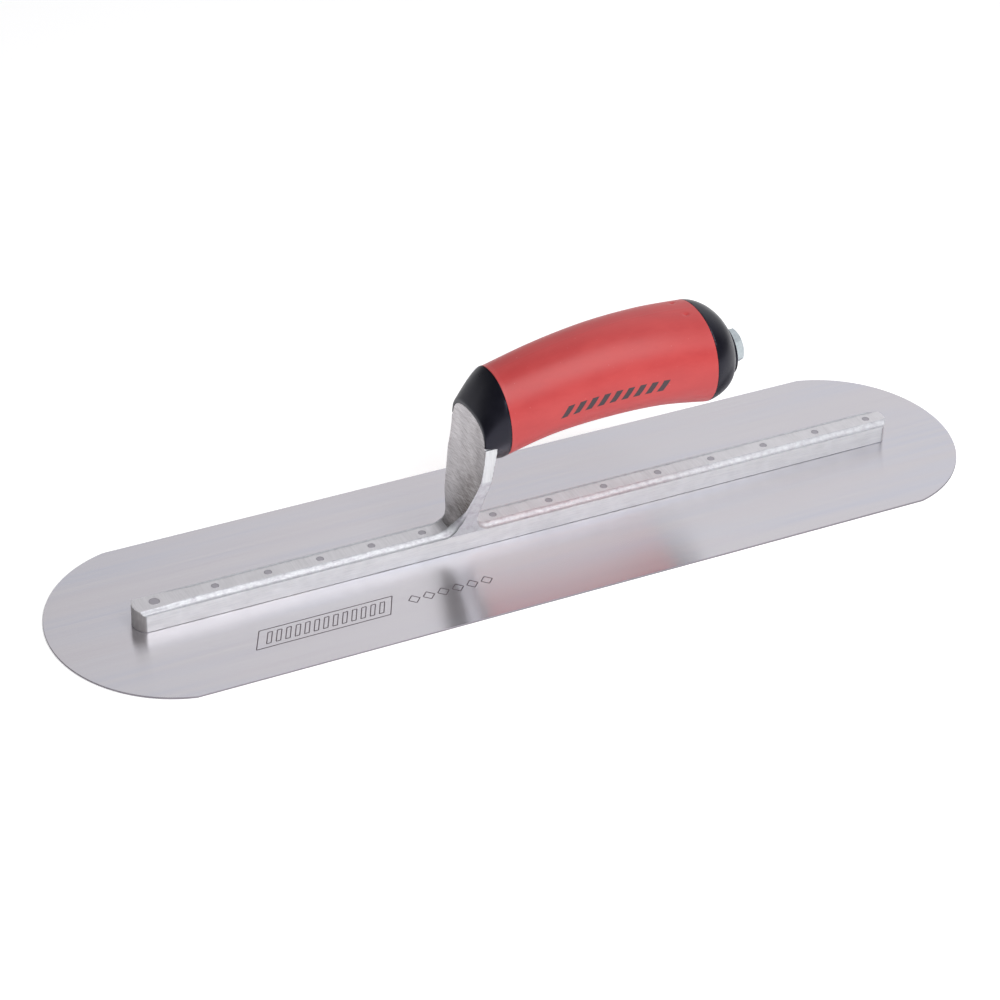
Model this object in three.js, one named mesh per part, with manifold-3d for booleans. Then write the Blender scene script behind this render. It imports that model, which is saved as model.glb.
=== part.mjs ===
// Steel finishing trowel for concrete: a thin round-ended steel blade, a cast aluminium mounting
// riveted along the blade's middle, and a soft-grip handle held to the mounting's upright shank by
// one long bolt.
//
// Millimetres, +Z up. The origin is the middle of the blade's underside. X runs along the blade:
// the shank faces -X and the rear end of the handle points towards +X.

import * as THREE from 'three';
import { mergeVertices } from 'three/addons/utils/BufferGeometryUtils.js';
import Module from 'manifold-3d';

const { degToRad, lerp } = THREE.MathUtils;

// ---- Blade ---------------------------------------------------------------------------------------
const BLADE_LENGTH = 406.4; // 16 in
const BLADE_WIDTH = 101.6; // 4 in
const BLADE_THICKNESS = 0.8;
const BLADE_END_RADIUS = 52.2; // a little over half the width: each end meets its sides at a faint corner

// ---- Mounting: the spine along the blade -----------------------------------------------------------
const SPINE_FRONT_X = -169.7;
const SPINE_REAR_X = 174.3;
const SPINE_HALF_WIDTH = 6.3;
const SPINE_END_RADIUS = 7.2; // in plan
const SPINE_SIDE_Z = 8.7; // top of the ground side faces
const SPINE_TOP_Z = 10.2; // ground land that the rivets are flush with
const LAND_HALF_WIDTH = 3.2;
const SHOULDER_HALF_WIDTH = 5.1; // foot of the rounded shoulder between side and land
const SHOULDER_Z = 9.0;

// ---- Mounting: the shank, seen from the side as [x, z] ----------------------------------------------
const SHANK_FRONT_X = -26.0; // front face of the head
const SHANK_REAR_X = -20.8; // rear face of the head
const LEDGE_FRONT_Z = 54.1; // the handle's nose rests on the shank's shoulders, on a ledge
const LEDGE_REAR_Z = 53.1; // that falls a little towards the rear
const FRONT_WAIST = [-32.5, 16.8];
const FRONT_WAIST_HANDLES = [[SHANK_FRONT_X, 42], [-29.3, 30]]; // of the curve down to the front waist
const REAR_WAIST = [-24.4, 17.5];
const REAR_WAIST_HANDLES = [[-25.2, 27], [-21.9, 43]]; // of the curve up from the rear waist
const FOOT_FRONT = [-41.5, SPINE_TOP_Z]; // where the foot's fillets leave the spine
const FOOT_REAR = [-18.0, SPINE_TOP_Z];
const FOOT_FRONT_CORNER = [-34.2, SPINE_TOP_Z]; // the corners that the fillets round
const FOOT_REAR_CORNER = [-24.2, SPINE_TOP_Z];

// ---- Mounting: the shank, seen from the front as [y, z], +Y side -------------------------------------
const FLARE_FROM = [SPINE_HALF_WIDTH, 13];
const FLARE_TO = [15.0, 42]; // widest
const FLARE_HANDLES = [[8.5, 19], [15.0, 31]];
const HEAD_HALF_WIDTH = 14.3; // at the ledge
const HEAD_TOP_Z = 63.4;
const HEAD_CORNER = [14.2, 60.8]; // handles of the head's round corner
const HEAD_CROWN_HALF_WIDTH = 8;

// ---- Rivets ----------------------------------------------------------------------------------------
const FIRST_RIVET = { x: -160.5, radius: 2.1 }; // alone at the front end, and thicker than the others
const RIVET_RADIUS = 1.5;
const FRONT_ROW = { start: -135.1, pitch: 22.4, count: 5 }; // in front of the shank
const REAR_ROW = { start: -13.6, pitch: 25.6, count: 8 }; // behind the shank
const RIVET_FLARE = 1.0; // how far the countersunk head widens at the blade's underside
const RIVET_CLEARANCE = 0.15;

// ---- Handle ----------------------------------------------------------------------------------------
// The grip's skin is given by its crest, belly and half width at stations along X.
const GRIP_STATIONS = [-16, 6, 30, 54, 76];
const GRIP_CREST_Z = [79.8, 84.8, 88.3, 89.0, 87.5];
const GRIP_BELLY_Z = [41.5, 47.3, 49.6, 49.4, 46.0];
const GRIP_HALF_WIDTH_FRONT = 16.9;
const GRIP_HALF_WIDTH_REAR = 21.8;
const SECTION_POWER = 2.12; // sections are superellipses, a little squarer than an ellipse
const LEAN_LEVEL_Z = 62; // sections lean about this height
const FRONT_SEAM = { x: -15.7, lean: -0.098 }; // the plane x = seam.x + seam.lean * (z - LEAN_LEVEL_Z)
const REAR_SEAM = { x: 74.9, lean: -0.026 };
const NOSE_FROM_X = -17.2; // the crest starts to fall to the nose's rim
const NOSE_RIM = { x: -26.2, lean: 0 }; // just proud of the shank's face
const NOSE_RIM_TOP_Z = 64.6;
const NOSE_RIM_BELLY_Z = 44.0;
const NOSE_RIM_HALF_WIDTH = 15.0;
const NOSE_RIM_POWER = 2.7;
const NOSE_CREST_POWER = 1.25; // how the crest rounds over before it falls
const TAIL_END = { x: 88.0, lean: 0 };
const TAIL_END_RADIUS = 12.0;
const TAIL_ROUND_POWER = 1.6; // of the crest and the sides
const TAIL_BELLY_POWER = 1.4;
const GRIP_WALL = 3.2; // thickness of the soft sleeve
const FIT_GAP = 0.3; // between pieces that touch

// ---- Bolt, its axis and the end plug -----------------------------------------------------------------
const AXIS_REAR = new THREE.Vector3(90.6, 0, 64.1); // middle of the end plug's outer face
const AXIS_SLOPE = 0.06; // the bolt rises this many radians towards the rear
const BOLT_RADIUS = 4.0; // M8
const BOLT_LENGTH = 100;
const BOLT_HEAD_FLATS = 13;
const BOLT_HEAD_HEIGHT = 5.3;
const BOLT_HEAD_CHAMFER = 0.6;
const BOLT_HEAD_TURN = degToRad(45); // how the hexagon happens to stand
const PLUG_RADIUS = 11.1;
const PLUG_THICKNESS = 3.2;
const PLUG_EDGE = 0.5;
const SPIGOT_RADIUS = 6.5;
const SPIGOT_LENGTH = 22;
const SPIGOT_FLOOR = 4; // solid metal in front of the tapped hole

// ---- Fineness ------------------------------------------------------------------------------------------
const BLADE_ARC_STEPS = 32;
const CURVE_STEPS = 10;
const RIVET_SIDES = 16;
const ROUND_SIDES = 32;
const RING_SIDES = 40;
const LEAN_PASSES = 3;
const NOSE_STEPS = 6; // rings along the handle
const WAIST_STEPS = 8;
const TAIL_STEPS = 8;
const GRIP_STEPS = 14;
const PAST = 1; // cuts run this far past a face

const wasm = await Module();
wasm.setup();

// ---- Solids --------------------------------------------------------------------------------------------

/** A closed geometry as a manifold solid, for cutting and joining. */
function toSolid(geometry) {
  const plain = geometry.clone();
  plain.deleteAttribute('normal');
  plain.deleteAttribute('uv');
  const merged = mergeVertices(plain);
  return new wasm.Manifold(new wasm.Mesh({
    numProp: 3,
    vertProperties: new Float32Array(merged.attributes.position.array),
    triVerts: new Uint32Array(merged.index.array),
  }));
}

/** A manifold solid as a geometry. */
function toGeometry(solid) {
  const mesh = solid.getMesh();
  const geometry = new THREE.BufferGeometry();
  geometry.setAttribute('position', new THREE.BufferAttribute(mesh.vertProperties, mesh.numProp));
  geometry.setIndex(new THREE.BufferAttribute(mesh.triVerts, 1));
  geometry.computeVertexNormals();
  return geometry;
}

/** Extrudes a shape drawn in X and Y upwards, from one height to another. */
function extrudeUp(shape, fromZ, toZ, curveSegments = CURVE_STEPS) {
  const settings = { depth: toZ - fromZ, bevelEnabled: false, curveSegments };
  return new THREE.ExtrudeGeometry(shape, settings).translate(0, 0, fromZ);
}

/** Extrudes a shape drawn in Y and Z along X. */
function extrudeAlong(shape, fromX, toX) {
  const yzx = new THREE.Matrix4().makeBasis(
    new THREE.Vector3(0, 1, 0),
    new THREE.Vector3(0, 0, 1),
    new THREE.Vector3(1, 0, 0),
  );
  return extrudeUp(shape, fromX, toX).applyMatrix4(yzx);
}

/** Extrudes a shape drawn in X and Z across the blade, to both sides of the middle. */
function extrudeAcross(shape, halfWidth) {
  return extrudeUp(shape, -halfWidth, halfWidth).rotateX(Math.PI / 2);
}

/** A solid of revolution about a vertical axis, from [radius, height] pairs listed upwards. */
function turned(profile, sides) {
  const points = profile.map(([radius, height]) => new THREE.Vector2(radius, height));
  return new THREE.LatheGeometry(points, sides).rotateX(Math.PI / 2);
}

/** Turns a piece modelled along +Z onto the bolt's axis, with its origin at the plug's outer face. */
function ontoBoltAxis(geometry) {
  return geometry
    .rotateY(Math.PI / 2 - AXIS_SLOPE)
    .translate(AXIS_REAR.x, AXIS_REAR.y, AXIS_REAR.z);
}

/** A plain round bar on the bolt's axis, between two distances from the plug's outer face. */
function axisBar(radius, from, to) {
  return ontoBoltAxis(turned([[0, from], [radius, from], [radius, to], [0, to]], ROUND_SIDES));
}

/** Distance from the plug's outer face, along the bolt's axis, of a point at the given x. */
function alongAxis(x) {
  return (x - AXIS_REAR.x) / Math.cos(AXIS_SLOPE);
}

/** A closed skin through rings of points, with flat ends. */
function loft(rings) {
  const sides = rings[0].length;
  const points = rings.flat();
  const middle = (ring) => ring.reduce((sum, p) => sum.add(p), new THREE.Vector3()).divideScalar(sides);
  points.push(middle(rings[0]), middle(rings.at(-1)));
  const firstMiddle = points.length - 2;
  const lastMiddle = points.length - 1;
  const lastRing = (rings.length - 1) * sides;
  const index = [];
  for (let side = 0; side < sides; side += 1) {
    const next = (side + 1) % sides;
    for (let row = 0; row < lastRing; row += sides) {
      index.push(row + side, row + next, row + sides + side);
      index.push(row + next, row + sides + next, row + sides + side);
    }
    index.push(firstMiddle, next, side);
    index.push(lastMiddle, lastRing + side, lastRing + next);
  }
  const geometry = new THREE.BufferGeometry().setFromPoints(points);
  geometry.setIndex(index);
  return geometry;
}

/** A plan outline with two arcs for ends, bulging past the straight sides that join them. */
function roundEndedPlan(frontX, rearX, halfWidth, endRadius) {
  const corner = Math.asin(halfWidth / endRadius);
  const shape = new THREE.Shape();
  shape.absarc(rearX - endRadius, 0, endRadius, -corner, corner);
  shape.absarc(frontX + endRadius, 0, endRadius, Math.PI - corner, Math.PI + corner);
  return shape;
}

// ---- Rivets and blade ------------------------------------------------------------------------------------

/** The rivets' places and radii, from the front end to the rear end. */
function rivetSeats() {
  const seats = [FIRST_RIVET];
  for (const row of [FRONT_ROW, REAR_ROW]) {
    for (let i = 0; i < row.count; i += 1) {
      seats.push({ x: row.start + i * row.pitch, radius: RIVET_RADIUS });
    }
  }
  return seats;
}

/** A rivet: countersunk head flush under the blade, shank flush with the spine's land. */
function rivetGeometry({ x, radius }) {
  return turned([
    [0, 0],
    [radius + RIVET_FLARE, 0],
    [radius, BLADE_THICKNESS],
    [radius, SPINE_TOP_Z],
    [0, SPINE_TOP_Z],
  ], RIVET_SIDES).translate(x, 0, 0);
}

/** The hole that a rivet fills, running past both faces. */
function rivetHole({ x, radius }) {
  const wall = radius + RIVET_CLEARANCE;
  return turned([
    [0, -PAST],
    [wall + RIVET_FLARE, -PAST],
    [wall + RIVET_FLARE, 0],
    [wall, BLADE_THICKNESS],
    [wall, SPINE_TOP_Z + PAST],
    [0, SPINE_TOP_Z + PAST],
  ], RIVET_SIDES).translate(x, 0, 0);
}

function cutRivetHoles(solid) {
  return rivetSeats().reduce((cut, seat) => cut.subtract(toSolid(rivetHole(seat))), solid);
}

function bladeGeometry() {
  const plan = roundEndedPlan(-BLADE_LENGTH / 2, BLADE_LENGTH / 2, BLADE_WIDTH / 2, BLADE_END_RADIUS);
  const sheet = extrudeUp(plan, 0, BLADE_THICKNESS, BLADE_ARC_STEPS);
  return toGeometry(cutRivetHoles(toSolid(sheet)));
}

// ---- Mounting --------------------------------------------------------------------------------------------

/** Cross-section of the spine: upright ground sides, a small cove and a rounded shoulder to the land. */
function spineSection() {
  const shape = new THREE.Shape();
  shape.moveTo(-SPINE_HALF_WIDTH, BLADE_THICKNESS);
  shape.lineTo(SPINE_HALF_WIDTH, BLADE_THICKNESS);
  shape.lineTo(SPINE_HALF_WIDTH, SPINE_SIDE_Z);
  shape.lineTo(SHOULDER_HALF_WIDTH, SHOULDER_Z);
  shape.lineTo(LAND_HALF_WIDTH, SPINE_TOP_Z);
  shape.lineTo(-LAND_HALF_WIDTH, SPINE_TOP_Z);
  shape.lineTo(-SHOULDER_HALF_WIDTH, SHOULDER_Z);
  shape.lineTo(-SPINE_HALF_WIDTH, SPINE_SIDE_Z);
  return shape;
}

/** Adds the shank's rear face to a side view, from its waist up to the ledge, moved back by a gap. */
function addShankRear(shape, gap) {
  const [low, high] = REAR_WAIST_HANDLES;
  shape.lineTo(REAR_WAIST[0] + gap, REAR_WAIST[1]);
  shape.bezierCurveTo(low[0] + gap, low[1], high[0] + gap, high[1], SHANK_REAR_X + gap, LEDGE_REAR_Z);
}

/** Side view of the shank, from inside the spine up past the head. */
function shankSide() {
  const root = SPINE_TOP_Z / 2;
  const top = HEAD_TOP_Z + PAST;
  const shape = new THREE.Shape();
  shape.moveTo(FOOT_REAR[0], root);
  shape.lineTo(...FOOT_REAR);
  shape.quadraticCurveTo(...FOOT_REAR_CORNER, ...REAR_WAIST);
  addShankRear(shape, 0);
  shape.lineTo(SHANK_REAR_X, top);
  shape.lineTo(SHANK_FRONT_X, top);
  shape.lineTo(SHANK_FRONT_X, LEDGE_FRONT_Z);
  shape.bezierCurveTo(...FRONT_WAIST_HANDLES[0], ...FRONT_WAIST_HANDLES[1], ...FRONT_WAIST);
  shape.quadraticCurveTo(...FOOT_FRONT_CORNER, ...FOOT_FRONT);
  shape.lineTo(FOOT_FRONT[0], root);
  return shape;
}

/** Adds the round top of the shank's head to a front view, from the +Y ledge to the -Y ledge. */
function addHeadArch(shape, gap) {
  const width = HEAD_HALF_WIDTH + gap;
  const top = HEAD_TOP_Z + gap;
  const cornerY = HEAD_CORNER[0] + gap;
  const cornerZ = HEAD_CORNER[1] + gap;
  shape.lineTo(width, LEDGE_REAR_Z);
  shape.bezierCurveTo(cornerY, cornerZ, HEAD_CROWN_HALF_WIDTH, top, 0, top);
  shape.bezierCurveTo(-HEAD_CROWN_HALF_WIDTH, top, -cornerY, cornerZ, -width, LEDGE_REAR_Z);
}

/** Front view of the shank: narrow at the foot, flaring to its shoulders, with a round head. */
function shankFront() {
  const root = SPINE_TOP_Z / 2;
  const [low, high] = FLARE_HANDLES;
  const shape = new THREE.Shape();
  shape.moveTo(-SPINE_HALF_WIDTH, root);
  shape.lineTo(SPINE_HALF_WIDTH, root);
  shape.lineTo(...FLARE_FROM);
  shape.bezierCurveTo(...low, ...high, ...FLARE_TO);
  addHeadArch(shape, 0);
  shape.lineTo(-FLARE_TO[0], FLARE_TO[1]);
  shape.bezierCurveTo(-high[0], high[1], -low[0], low[1], -FLARE_FROM[0], FLARE_FROM[1]);
  return shape;
}

/** Spine, shank and spigot in one casting, drilled for the rivets and tapped for the bolt. */
function mountingGeometry() {
  const plan = roundEndedPlan(SPINE_FRONT_X, SPINE_REAR_X, SPINE_HALF_WIDTH, SPINE_END_RADIUS);
  const bar = toSolid(extrudeAlong(spineSection(), SPINE_FRONT_X, SPINE_REAR_X))
    .intersect(toSolid(extrudeUp(plan, 0, SPINE_TOP_Z + PAST)));
  const shank = toSolid(extrudeAcross(shankSide(), FLARE_TO[0] + PAST))
    .intersect(toSolid(extrudeAlong(shankFront(), FOOT_FRONT[0] - PAST, FOOT_REAR[0] + PAST)));
  const spigotRoot = alongAxis(SHANK_REAR_X);
  const spigotEnd = spigotRoot + SPIGOT_LENGTH;
  const spigot = toSolid(axisBar(SPIGOT_RADIUS, spigotRoot - PAST, spigotEnd));
  const tappedHole = toSolid(axisBar(BOLT_RADIUS + FIT_GAP, spigotRoot + SPIGOT_FLOOR, spigotEnd + PAST));
  return toGeometry(cutRivetHoles(bar.add(shank)).add(spigot).subtract(tappedHole));
}

// ---- Handle ----------------------------------------------------------------------------------------------

/** A smooth curve through one height for each grip station. */
function gripCurve(heights) {
  return new THREE.SplineCurve(GRIP_STATIONS.map((x, i) => new THREE.Vector2(x, heights[i])));
}

const crestCurve = gripCurve(GRIP_CREST_Z);
const bellyCurve = gripCurve(GRIP_BELLY_Z);

/** Height of a grip curve at x, found by halving the curve's parameter; level past its ends. */
function curveHeight(curve, x) {
  const tolerance = 1e-6;
  let low = 0;
  let high = 1;
  while (high - low > tolerance) {
    const mid = (low + high) / 2;
    if (curve.getPoint(mid).x < x) low = mid;
    else high = mid;
  }
  return curve.getPoint(low).y;
}

/** Crest, belly, half width and squareness of the handle's skin in the plane at x. */
function handleSection(x) {
  const along = (x - GRIP_STATIONS[0]) / (GRIP_STATIONS.at(-1) - GRIP_STATIONS[0]);
  const section = {
    crest: curveHeight(crestCurve, x),
    belly: curveHeight(bellyCurve, x),
    halfWidth: lerp(GRIP_HALF_WIDTH_FRONT, GRIP_HALF_WIDTH_REAR, along),
    power: SECTION_POWER,
  };
  if (x < NOSE_FROM_X) {
    const out = Math.min((NOSE_FROM_X - x) / (NOSE_FROM_X - NOSE_RIM.x), 1);
    section.crest = lerp(section.crest, NOSE_RIM_TOP_Z, out ** NOSE_CREST_POWER);
    section.belly = lerp(section.belly, NOSE_RIM_BELLY_Z, out);
    section.halfWidth = lerp(section.halfWidth, NOSE_RIM_HALF_WIDTH, out);
    section.power = lerp(SECTION_POWER, NOSE_RIM_POWER, out);
  }
  if (x > REAR_SEAM.x) {
    const out = Math.min((x - REAR_SEAM.x) / (TAIL_END.x - REAR_SEAM.x), 1);
    const kept = (power) => (1 - out ** power) ** (1 / power);
    section.crest = lerp(AXIS_REAR.z + TAIL_END_RADIUS, section.crest, kept(TAIL_ROUND_POWER));
    section.belly = lerp(AXIS_REAR.z - TAIL_END_RADIUS, section.belly, kept(TAIL_BELLY_POWER));
    section.halfWidth = lerp(TAIL_END_RADIUS, section.halfWidth, kept(TAIL_ROUND_POWER));
  }
  return section;
}

/** A point of the skin, or inset below it, at x and an angle about the section's middle. */
function skinPoint(x, angle, inset) {
  const { crest, belly, halfWidth, power } = handleSection(x);
  const squared = (value) => Math.sign(value) * Math.abs(value) ** (2 / power);
  const y = (halfWidth - inset) * squared(Math.cos(angle));
  const z = (crest + belly) / 2 + ((crest - belly) / 2 - inset) * squared(Math.sin(angle));
  return new THREE.Vector3(x, y, z);
}

/** A ring of skin points in a leaning plane. */
function ring({ x, lean }, inset) {
  const points = [];
  for (let side = 0; side < RING_SIDES; side += 1) {
    const angle = (side / RING_SIDES) * 2 * Math.PI;
    let point = skinPoint(x, angle, inset);
    for (let pass = 0; pass < LEAN_PASSES; pass += 1) {
      point = skinPoint(x + lean * (point.z - LEAN_LEVEL_Z), angle, inset);
    }
    points.push(point);
  }
  return points;
}

/** The plane a share of the way from one plane to another. */
function planeBetween(from, to, share) {
  return { x: lerp(from.x, to.x, share), lean: lerp(from.lean, to.lean, share) };
}

/** Evenly spaced planes from one plane to another, with both ends. */
function planesBetween(from, to, count) {
  return Array.from({ length: count + 1 }, (_, i) => planeBetween(from, to, i / count));
}

function shifted(plane, distance) {
  return { x: plane.x + distance, lean: plane.lean };
}

/** Soft sleeve between the two seams. */
function gripGeometry() {
  const planes = planesBetween(FRONT_SEAM, REAR_SEAM, GRIP_STEPS);
  const boreEnds = [shifted(FRONT_SEAM, -PAST), ...planes, shifted(REAR_SEAM, PAST)];
  const skin = toSolid(loft(planes.map((plane) => ring(plane, 0))));
  const bore = toSolid(loft(boreEnds.map((plane) => ring(plane, GRIP_WALL))));
  return toGeometry(skin.subtract(bore));
}

/** The room that the shank and its head take in the handle's nose. */
function shankRoom() {
  const front = 2 * NOSE_RIM.x; // well in front of the nose
  const ledgeSlope = (LEDGE_REAR_Z - LEDGE_FRONT_Z) / (SHANK_REAR_X - SHANK_FRONT_X);
  const ledgeZ = LEDGE_REAR_Z + FIT_GAP;
  const below = new THREE.Shape();
  below.moveTo(front, 0);
  below.lineTo(REAR_WAIST[0], 0);
  addShankRear(below, FIT_GAP);
  below.lineTo(SHANK_REAR_X + FIT_GAP, ledgeZ);
  below.lineTo(front, ledgeZ + ledgeSlope * (front - SHANK_REAR_X));
  const pocketFloor = LEDGE_REAR_Z - 5 * PAST; // inside the room below
  const pocket = new THREE.Shape();
  pocket.moveTo(-HEAD_HALF_WIDTH - FIT_GAP, pocketFloor);
  pocket.lineTo(HEAD_HALF_WIDTH + FIT_GAP, pocketFloor);
  addHeadArch(pocket, FIT_GAP);
  return toSolid(extrudeAcross(below, 2 * FLARE_TO[0]))
    .add(toSolid(extrudeAlong(pocket, front, SHANK_REAR_X + FIT_GAP)));
}

/** Hard core: the nose and the tail come out to the skin, the waist between them is under the grip. */
function coreGeometry() {
  const noseBack = shifted(FRONT_SEAM, -FIT_GAP / 2);
  const tailFront = shifted(REAR_SEAM, FIT_GAP / 2);
  const nosePlanes = planesBetween(NOSE_RIM, noseBack, NOSE_STEPS);
  const waistPlanes = planesBetween(noseBack, tailFront, WAIST_STEPS);
  const tailPlanes = Array.from({ length: TAIL_STEPS + 1 }, (_, i) => (
    // closer together where the tail curves in
    planeBetween(tailFront, TAIL_END, Math.sin((i / TAIL_STEPS) * (Math.PI / 2)))
  ));
  const body = toSolid(loft([
    ...nosePlanes.map((plane) => ring(plane, 0)),
    ...waistPlanes.map((plane) => ring(plane, GRIP_WALL + FIT_GAP)),
    ...tailPlanes.map((plane) => ring(plane, 0)),
  ]));
  const spigotRoot = alongAxis(SHANK_REAR_X);
  const spigotEnd = spigotRoot + SPIGOT_LENGTH;
  const cuts = [
    shankRoom(),
    toSolid(axisBar(SPIGOT_RADIUS + FIT_GAP, spigotRoot - PAST, spigotEnd + FIT_GAP)),
    toSolid(axisBar(BOLT_RADIUS + FIT_GAP, spigotEnd - PAST, PAST)),
    toSolid(axisBar(PLUG_RADIUS + FIT_GAP, -PLUG_THICKNESS - FIT_GAP, PAST)),
  ];
  return toGeometry(cuts.reduce((core, cut) => core.subtract(cut), body));
}

// ---- Plug and bolt ---------------------------------------------------------------------------------------

function plugGeometry() {
  const disc = turned([
    [0, -PLUG_THICKNESS],
    [PLUG_RADIUS, -PLUG_THICKNESS],
    [PLUG_RADIUS, -PLUG_EDGE],
    [PLUG_RADIUS - PLUG_EDGE, 0],
    [0, 0],
  ], ROUND_SIDES);
  const hole = axisBar(BOLT_RADIUS + FIT_GAP, -PLUG_THICKNESS - PAST, PAST);
  return toGeometry(toSolid(ontoBoltAxis(disc)).subtract(toSolid(hole)));
}

function boltGeometry() {
  const cornerRadius = BOLT_HEAD_FLATS / Math.sqrt(3);
  const top = FIT_GAP + BOLT_HEAD_HEIGHT;
  const head = turned([
    [0, FIT_GAP],
    [cornerRadius, FIT_GAP],
    [cornerRadius, top - BOLT_HEAD_CHAMFER],
    [cornerRadius - BOLT_HEAD_CHAMFER, top],
    [0, top],
  ], 6).rotateZ(BOLT_HEAD_TURN);
  const shaft = axisBar(BOLT_RADIUS, -BOLT_LENGTH, FIT_GAP + PAST);
  return toGeometry(toSolid(ontoBoltAxis(head)).add(toSolid(shaft)));
}

// ---- Materials and assembly ------------------------------------------------------------------------------

const bladeSteel = new THREE.MeshStandardMaterial({ color: 0xc3c0c6, roughness: 0.32, metalness: 1 });
const castAluminium = new THREE.MeshStandardMaterial({ color: 0xc9c9cc, roughness: 0.42, metalness: 1 });
const rivetMetal = new THREE.MeshStandardMaterial({ color: 0xa3a0a6, roughness: 0.4, metalness: 1 });
const softGrip = new THREE.MeshStandardMaterial({ color: 0xc44a4a, roughness: 0.7, metalness: 0 });
const hardBlack = new THREE.MeshStandardMaterial({ color: 0x1e1d20, roughness: 0.45, metalness: 0 });
const zincPlate = new THREE.MeshStandardMaterial({ color: 0xb9c4cb, roughness: 0.35, metalness: 1 });

const trowel = new THREE.Group();

function addPiece(name, geometry, material) {
  const piece = new THREE.Mesh(geometry, material);
  piece.name = name;
  trowel.add(piece);
}

addPiece('blade', bladeGeometry(), bladeSteel);
addPiece('mounting', mountingGeometry(), castAluminium);
rivetSeats().forEach((seat, i) => {
  const number = String(i + 1).padStart(2, '0');
  addPiece(`rivet_${number}`, rivetGeometry(seat), rivetMetal);
});
addPiece('handle_core', coreGeometry(), hardBlack);
addPiece('grip_sleeve', gripGeometry(), softGrip);
addPiece('end_plug', plugGeometry(), hardBlack);
addPiece('handle_bolt', boltGeometry(), zincPlate);

export default trowel;
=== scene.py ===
"""Looks of a steel finishing trowel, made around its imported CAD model.

Shapes are worked out in millimetres in the frame's own axes (X along the blade, Z up, origin in the
middle of the blade's underside) and scaled to metres when each mesh is made.
"""

import math

import bmesh
import bpy
import numpy as np
from mathutils import Matrix, Vector


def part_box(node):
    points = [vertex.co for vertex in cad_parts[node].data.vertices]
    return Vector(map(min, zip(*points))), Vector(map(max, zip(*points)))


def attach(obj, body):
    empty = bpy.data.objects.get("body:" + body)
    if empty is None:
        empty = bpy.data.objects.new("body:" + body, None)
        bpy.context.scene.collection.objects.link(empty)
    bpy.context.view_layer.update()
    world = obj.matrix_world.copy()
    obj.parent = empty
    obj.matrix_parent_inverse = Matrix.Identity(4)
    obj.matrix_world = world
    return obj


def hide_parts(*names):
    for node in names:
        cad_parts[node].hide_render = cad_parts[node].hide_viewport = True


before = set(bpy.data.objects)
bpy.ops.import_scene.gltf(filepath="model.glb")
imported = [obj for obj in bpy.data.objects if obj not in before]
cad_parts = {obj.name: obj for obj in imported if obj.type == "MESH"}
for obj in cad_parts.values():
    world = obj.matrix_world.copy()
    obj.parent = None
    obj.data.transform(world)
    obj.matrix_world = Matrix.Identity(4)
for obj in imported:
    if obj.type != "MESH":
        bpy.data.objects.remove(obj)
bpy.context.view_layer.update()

MM = 0.001


def box_mm(node):
    """Lowest and highest corner of a CAD node, in millimetres."""
    low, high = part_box(node)
    return np.array(low) / MM, np.array(high) / MM


# ---- Driving dimensions, from the frame ----
BLADE_HIGH = box_mm("blade")[1]
MOUNT_LOW, MOUNT_HIGH = box_mm("mounting")
CORE_LOW, CORE_HIGH = box_mm("handle_core")
RIVETS = sorted(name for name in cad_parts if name.startswith("rivet_"))

THICKNESS = BLADE_HIGH[2]
LAND_Z = box_mm(RIVETS[-1])[1][2]  # the rivets are ground flush with the spine's top
SPINE_FRONT = MOUNT_LOW[0]
SPINE_REAR = MOUNT_HIGH[0]
SHANK_HALF_WIDTH = MOUNT_HIGH[1]

# ---- Shape of the blade ----
BLADE_END_RADIUS = 52.2
BLADE_ARC_STEPS = 96
BLADE_EDGE = 0.12  # edge break
EDGE_MATERIAL = 1  # the edge's place among the blade's materials
RIVET_FLARE = 1.0  # how much wider the countersunk heads are, each way
RIVET_GAP = 0.06  # round each rivet
RIVET_BREAK = 0.1  # edge break on top
RIVET_SIDES = 48

# ---- Shape of the mounting, in mm as in the CAD model ----
SPINE_HALF_WIDTH = 6.3
SPINE_END_RADIUS = 7.2
SIDE_Z = 8.7  # top of the ground side faces
RIB_HALF_WIDTH = 5.3  # of the rounded rib on the spine, whose top is ground to the land
RIB_ROUND = 3.0
RIB_OVERSHOOT = 0.14  # how much the grinding took off
FRONT_OVERSHOOT = 0.8  # and how much more towards the spine's front end
FRONT_OVERSHOOT_X = (143, 165)
CONTACT_CHAMFER = 0.25  # along the spine's foot
EDGE_ROUND = 0.18
END_ROUND = 0.2  # along the spine's ends
RIB_FILLET = 0.6  # between the rib and the side faces' top
LUMP_HEIGHT = 0.03  # of the cast surface
LUMP_SIZES = (3.2, 2.0, 2.0)
LEAF_FADE_Z = (11.0, 24.0)  # where the rib's round shoulders run out up the leaf
CAST_EDGE_Z = (9.0, 11.0)  # where the shank's cast edges begin
CAST_EDGE_FADE = 1.5  # and how far below the kink they end
PAST = 1  # how far a cutting outline or a grid runs past the solid
FAR = 50  # more than any distance that it outweighs
UPRIGHT = 0.97  # least sideways part of the normal of the ground side faces
GROUND_DEPTH = 0.03  # land and leaf lie within this of the side view's outline
SHANK_ZONE = (-43, -15)
HEAD_FRONT_X = -26.0
HEAD_REAR_X = -20.8
LEDGE_FRONT_Z = 54.1
LEDGE_REAR_Z = 53.1
FOOT_REAR = (-24.4, 17.5)  # where the fillets at the shank's foot end: behind
RIB_FOOT_FRONT = (-32.5, 16.8)  # in front, on the rib
BASE_FOOT_FRONT = (-30.2, 18.0)  # and in front, on the sides
HEAD_TOP_Z = 63.4
HEAD_HALF_WIDTH = 14.3
KINK_Z = 38.5  # the shank's edges are ground flat above this height and left as cast below

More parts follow.
